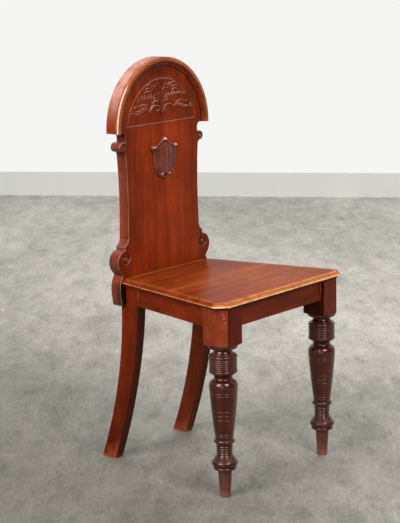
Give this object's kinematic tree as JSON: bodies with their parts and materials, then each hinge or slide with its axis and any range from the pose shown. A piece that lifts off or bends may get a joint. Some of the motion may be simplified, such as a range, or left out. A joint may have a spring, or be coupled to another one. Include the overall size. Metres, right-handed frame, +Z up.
{
  "type": "hall chair",
  "caption": "Upright hall chair with a solid tapered seat, turned front legs, sabre rear legs and a shaped board back with scrolls, a shield and a moulded round head.",
  "frame": {"origin": "centre of the chair's bounding box, on the floor", "axes": "+X to the right as one faces the chair, +Y to the back of the chair, +Z up; the seat faces -Y"},
  "size_m": [0.452, 0.449, 0.934],
  "materials": {
    "mahogany": "polished mahogany",
    "turned_mahogany": "dark polished mahogany",
    "seat_mahogany": "polished mahogany, worn at the front edges",
    "carved_mahogany": "dark carved mahogany, satin",
    "block_wood": "bare pine and beech",
    "steel": "dull steel"
  },
  "bodies": {
    "root": {"front_left_leg": "turned_mahogany", "front_right_leg": "turned_mahogany", "rear_left_leg": "mahogany", "rear_right_leg": "mahogany", "left_rail": "mahogany", "right_rail": "mahogany", "front_rail": "mahogany", "rear_rail": "mahogany", "seat_front_board": "seat_mahogany", "seat_rear_board": "seat_mahogany", "seat_dowel_1": "block_wood", "seat_dowel_2": "block_wood", "seat_dowel_3": "block_wood", "front_left_corner_block": "block_wood", "front_right_corner_block": "block_wood", "rear_left_corner_block": "block_wood", "rear_right_corner_block": "block_wood", "seat_screw_1": "steel", "seat_screw_2": "steel", "seat_screw_3": "steel", "seat_screw_4": "steel", "seat_screw_5": "steel", "seat_screw_6": "steel", "seat_screw_7": "steel", "seat_screw_8": "steel", "back_board": "mahogany", "hood_moulding": "mahogany", "shield": "carved_mahogany", "shield_screw": "steel", "hood_pin_1": "steel", "hood_pin_2": "steel", "hood_pin_3": "steel", "hood_pin_4": "steel", "hood_pin_5": "steel", "back_screw_1": "steel", "back_screw_2": "steel", "back_screw_3": "steel", "back_screw_4": "steel", "back_screw_5": "steel", "back_screw_6": "steel"}
  },
  "joints": []
}
